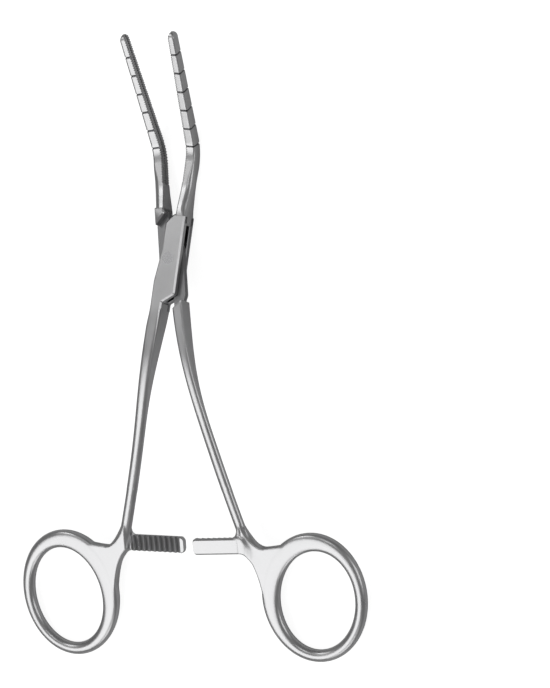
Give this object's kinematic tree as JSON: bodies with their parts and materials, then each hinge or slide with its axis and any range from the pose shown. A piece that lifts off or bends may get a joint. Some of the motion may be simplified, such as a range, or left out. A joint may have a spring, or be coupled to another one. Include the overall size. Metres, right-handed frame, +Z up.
{
  "type": "vascular clamp",
  "caption": "Ring-handled vascular clamp with a box lock, a ratchet and long bent jaws with toothed faces and measuring marks.",
  "frame": {"origin": "where the pin's axis meets the back of the box lock", "axes": "+Y along the clamp towards the jaw tips, +Z up from the surface that it lies on, +X towards the half with the tongue's ring"},
  "size_m": [0.0936, 0.1555, 0.0172],
  "materials": {
    "satin_steel": "satin, polished in places",
    "pin_steel": "satin, ground flush"
  },
  "bodies": {
    "box_body": {"box_half": "satin_steel", "pivot_pin": "pin_steel"},
    "tongue_body": {"tongue_half": "satin_steel"}
  },
  "joints": [
    {"name": "lock_hinge", "type": "hinge", "parent": "box_body", "child": "tongue_body", "pos_m": [0, 0, 0], "axis": [0, 0.1868, 0.9824], "range_deg": [-12.2, 35]}
  ]
}
